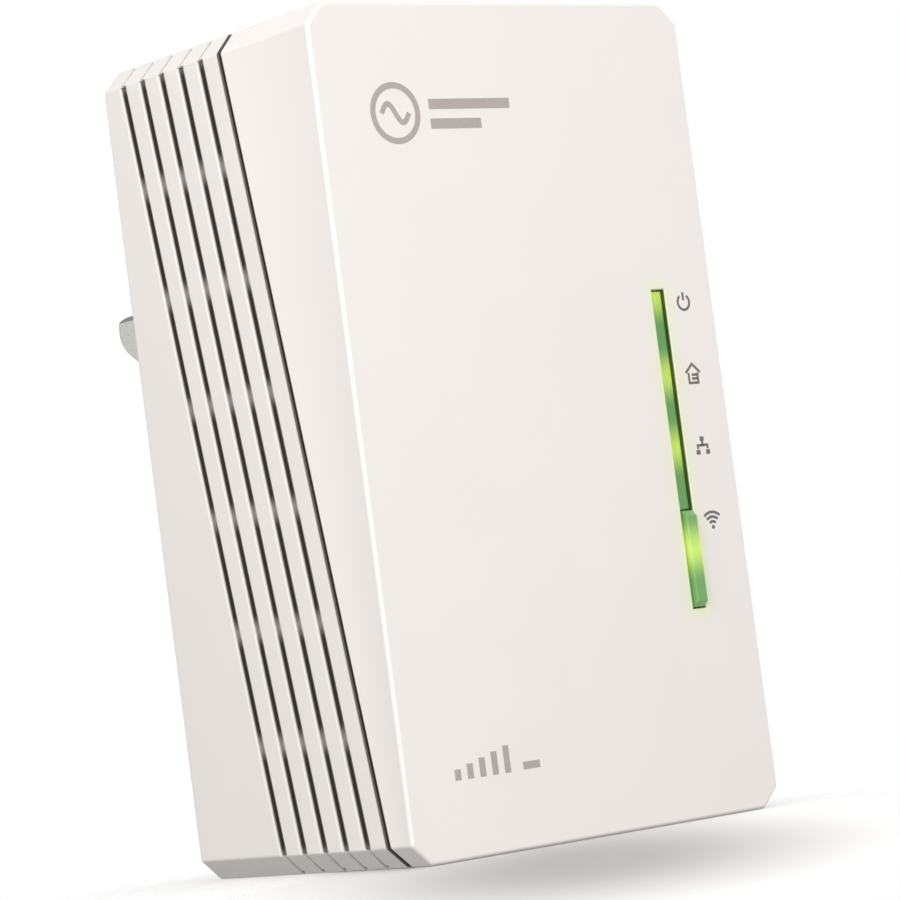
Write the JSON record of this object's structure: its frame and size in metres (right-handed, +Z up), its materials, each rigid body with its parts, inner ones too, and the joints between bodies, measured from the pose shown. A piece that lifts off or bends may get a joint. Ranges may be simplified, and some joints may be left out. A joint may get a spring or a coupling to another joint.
{
  "type": "powerline adapter",
  "caption": "Plug-in powerline network adapter with Wi-Fi: upright white case with slanted side vents, green light bar and button, flat plug blades behind and network sockets below.",
  "frame": {"origin": "middle of the case's wall side, in the plane that touches the wall", "axes": "+Y into the wall, +Z up, +X to the right for someone who faces the front"},
  "size_m": [0.054, 0.0578, 0.094],
  "materials": {
    "housing_white": "satin",
    "cover_white": "satin",
    "plug_base_white": "matte",
    "light_green": "gloss",
    "button_green": "gloss",
    "button_grey": "satin",
    "blade_metal": "satin",
    "sleeve_black": "satin",
    "label_film": "satin",
    "board_green": "satin",
    "chip_black": "matte",
    "ferrite": "matte",
    "winding_tape": "satin",
    "copper_wire": "satin",
    "capacitor_sleeve": "satin",
    "film_capacitor": "satin",
    "disc_blue": "satin",
    "fuse_body": "satin",
    "jack_black": "satin",
    "contact_gold": "polished",
    "tin_plate": "satin",
    "heatsink_aluminium": "satin",
    "thermal_pad": "matte",
    "crystal_can": "satin",
    "led_body": "gloss",
    "switch_case": "satin",
    "plunger_black": "satin",
    "insulation_film": "satin",
    "screw_steel": "satin"
  },
  "bodies": {
    "case": {"rear_housing": "housing_white", "front_cover": "cover_white", "light_bar": "light_green", "plug_base": "plug_base_white", "plug_blade_left": "blade_metal", "plug_blade_right": "blade_metal", "blade_sleeve_left": "sleeve_black", "blade_sleeve_right": "sleeve_black", "rating_label": "label_film", "mains_board": "board_green", "logic_board": "board_green", "insulation_sheet": "insulation_film", "mains_screw_upper": "screw_steel", "mains_screw_lower": "screw_steel", "logic_screw_upper": "screw_steel", "logic_screw_lower": "screw_steel", "bulk_capacitor_left": "capacitor_sleeve", "bulk_capacitor_right": "capacitor_sleeve", "output_capacitor": "capacitor_sleeve", "varistor": "disc_blue", "y_capacitor": "disc_blue", "fuse": "fuse_body", "x_capacitor": "film_capacitor", "bridge_rectifier": "chip_black", "power_controller": "chip_black", "optocoupler": "chip_black", "coupling_transformer": "ferrite", "filter_inductor_core": "ferrite", "filter_inductor_winding": "copper_wire", "output_inductor": "ferrite", "transformer_core": "ferrite", "transformer_winding": "winding_tape", "board_link_header": "jack_black", "powerline_chip": "chip_black", "thermal_pad": "thermal_pad", "heatsink": "heatsink_aluminium", "wifi_chip": "chip_black", "wifi_shield": "tin_plate", "memory_chip": "chip_black", "flash_chip": "chip_black", "crystal": "crystal_can", "network_transformer": "chip_black", "led_power": "led_body", "led_house": "led_body", "led_network": "led_body", "led_wifi": "led_body", "network_jack_left": "jack_black", "network_jack_right": "jack_black", "jack_contacts_left": "contact_gold", "jack_contacts_right": "contact_gold", "wifi_antenna_left": "tin_plate", "wifi_antenna_right": "tin_plate", "wifi_switch_body": "switch_case", "pair_switch_body": "switch_case", "reset_switch_body": "switch_case"},
    "wifi_button": {"wifi_button": "button_green"},
    "wifi_plunger": {"wifi_switch_plunger": "plunger_black"},
    "pair_button": {"pair_button": "button_grey"},
    "pair_plunger": {"pair_switch_plunger": "plunger_black"},
    "reset_plunger": {"reset_switch_plunger": "plunger_black"}
  },
  "joints": [
    {"name": "wifi_button_slide", "type": "slide", "parent": "case", "child": "wifi_button", "axis": [0, 1, 0], "range_m": [0, 0.0003], "stiffness_N_per_m": 1500, "springref_m": -0.0005},
    {"name": "wifi_plunger_slide", "type": "slide", "parent": "case", "child": "wifi_plunger", "axis": [0, 1, 0], "range_m": [0, 0.0003]},
    {"name": "pair_button_slide", "type": "slide", "parent": "case", "child": "pair_button", "axis": [0, 0, 1], "range_m": [0, 0.0003], "stiffness_N_per_m": 1500, "springref_m": -0.0005},
    {"name": "pair_plunger_slide", "type": "slide", "parent": "case", "child": "pair_plunger", "axis": [0, 0, 1], "range_m": [0, 0.0003]},
    {"name": "reset_plunger_slide", "type": "slide", "parent": "case", "child": "reset_plunger", "axis": [0, 0, 1], "range_m": [0, 0.00025], "stiffness_N_per_m": 1500, "springref_m": -0.0005}
  ],
  "couplings": [
    {"joint": "wifi_plunger_slide", "follows": "wifi_button_slide", "ratio": 1},
    {"joint": "pair_plunger_slide", "follows": "pair_button_slide", "ratio": 1}
  ]
}
